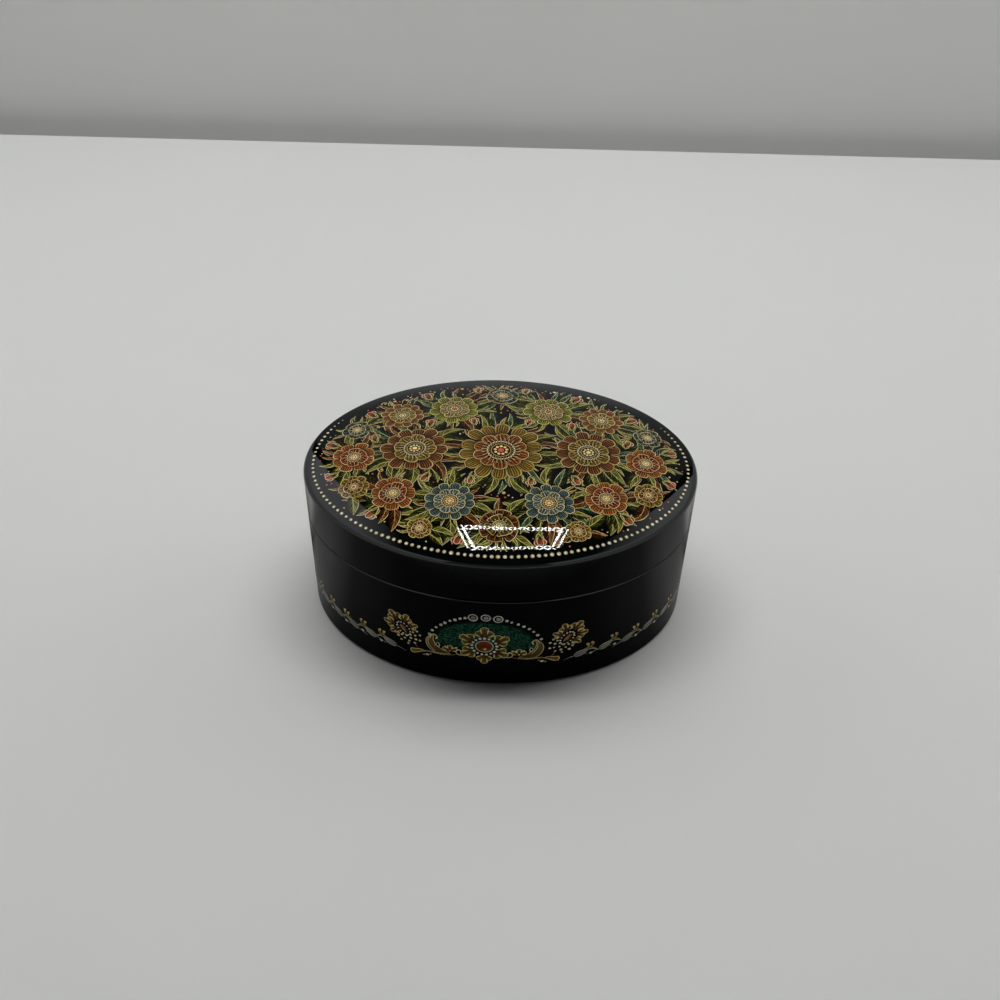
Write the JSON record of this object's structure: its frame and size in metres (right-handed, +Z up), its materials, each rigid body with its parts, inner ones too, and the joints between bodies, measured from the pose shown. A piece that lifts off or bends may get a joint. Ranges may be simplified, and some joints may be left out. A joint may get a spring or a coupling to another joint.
{
  "type": "lacquer box",
  "caption": "Small oval black lacquered papier-mache box with a hinged, gently domed lid and a raised inner lip that centres it.",
  "frame": {"origin": "middle of the flat underside, on the surface that the box stands on", "axes": "+Z up, +X along the oval's long axis, -Y towards the ornamented front, +Y towards the hinge"},
  "size_m": [0.0794, 0.057, 0.0377],
  "materials": {
    "black_lacquer": "gloss",
    "red_lacquer": "gloss",
    "hinge_tin": "satin",
    "hinge_wire": "polished",
    "gold_paint": "gloss",
    "white_paint": "gloss",
    "green_paint": "gloss",
    "red_paint": "gloss"
  },
  "bodies": {
    "body": {"base_plate": "black_lacquer", "body_wall": "black_lacquer", "body_lip": "red_lacquer", "hinge_pin": "hinge_wire", "body_hinge_strip_1": "hinge_tin", "body_hinge_strip_3": "hinge_tin", "body_hinge_strip_5": "hinge_tin"},
    "lid": {"lid_wall": "black_lacquer", "lid_panel": "black_lacquer", "lid_hinge_strip_2": "hinge_tin", "lid_hinge_strip_4": "hinge_tin"}
  },
  "joints": [
    {"name": "lid_hinge", "type": "hinge", "parent": "body", "child": "lid", "pos_m": [0, 0.0277, 0.02485], "axis": [-1, 0, 0], "range_deg": [0, 105]}
  ]
}
